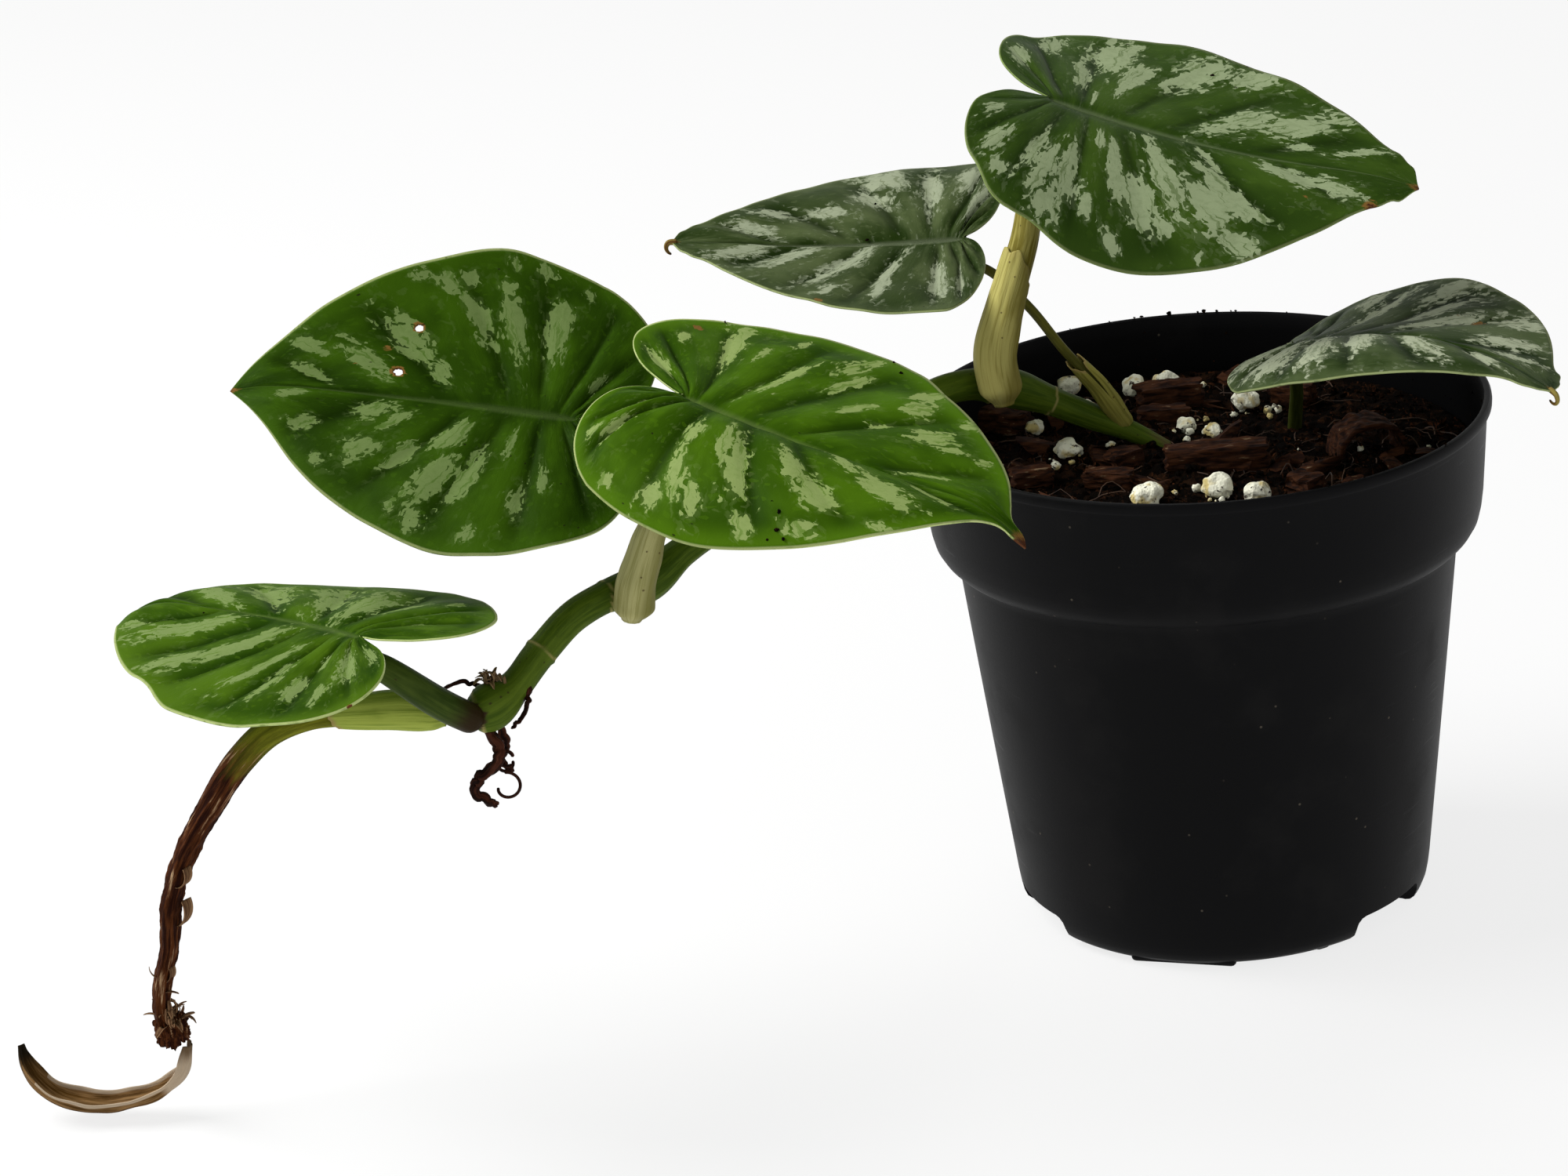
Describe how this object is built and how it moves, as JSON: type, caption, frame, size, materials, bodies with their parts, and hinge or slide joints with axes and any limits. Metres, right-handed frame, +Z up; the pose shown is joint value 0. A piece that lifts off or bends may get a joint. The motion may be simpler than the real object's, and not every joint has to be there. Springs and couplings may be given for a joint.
{
  "type": "potted trailing philodendron",
  "caption": "Heart-leaved trailing philodendron with silver-marked leaves in a round plastic grower's pot; one stem hangs over the rim and ends in a withered shoot.",
  "frame": {"origin": "centre of the pot's base, on the surface it stands on", "axes": "+Z up; the vine leaves the pot over its rim towards -X and its long run lies along X; -Y is the side the leaves face"},
  "size_m": [0.3453, 0.1984, 0.1958],
  "materials": {
    "pot_plastic": "satin moulded black",
    "potting_mix": "moist and crumbly",
    "bark": "rough",
    "perlite": "rough and porous",
    "leaf_dark": "soft sheen, silver patches",
    "leaf_bright": "soft sheen, silver patches",
    "petiole_skin": "satin",
    "green_sheath": "satin, striped",
    "vine_skin": "satin",
    "dead_stem": "dry and wrinkled",
    "dry_sheath": "dry and papery",
    "dried_root": "dry",
    "live_root": "matte"
  },
  "bodies": {
    "root": {"pot": "pot_plastic", "potting_mix": "potting_mix", "vine": "vine_skin", "withered_shoot": "dead_stem", "withered_bud": "dead_stem", "curled_sheath": "dry_sheath", "leaf_top": "leaf_dark", "leaf_upper_left": "leaf_dark", "leaf_right": "leaf_dark", "leaf_far_left": "leaf_bright", "leaf_middle": "leaf_bright", "leaf_low_left": "leaf_bright", "petiole_top": "petiole_skin", "petiole_upper_left": "petiole_skin", "petiole_right": "petiole_skin", "petiole_far_left": "petiole_skin", "petiole_middle": "petiole_skin", "petiole_low_left": "petiole_skin", "sheath_top": "green_sheath", "sheath_upper_left": "green_sheath", "sheath_middle": "green_sheath", "sheath_shoot": "green_sheath", "dried_root_long": "dried_root", "dried_root_curl": "dried_root", "dried_root_thread": "dried_root", "dried_root_hook": "dried_root", "root_front": "live_root", "root_left": "live_root", "root_back": "live_root", "root_near": "live_root", "perlite_01": "perlite", "perlite_02": "perlite", "perlite_03": "perlite", "perlite_04": "perlite", "perlite_05": "perlite", "perlite_06": "perlite", "perlite_07": "perlite", "perlite_08": "perlite", "perlite_09": "perlite", "perlite_10": "perlite", "perlite_11": "perlite", "perlite_12": "perlite", "perlite_13": "perlite", "bark_01": "bark", "bark_02": "bark", "bark_03": "bark", "bark_04": "bark", "bark_05": "bark", "bark_06": "bark", "bark_07": "bark", "bark_08": "bark", "bark_09": "bark", "bark_curl": "bark"}
  },
  "joints": []
}
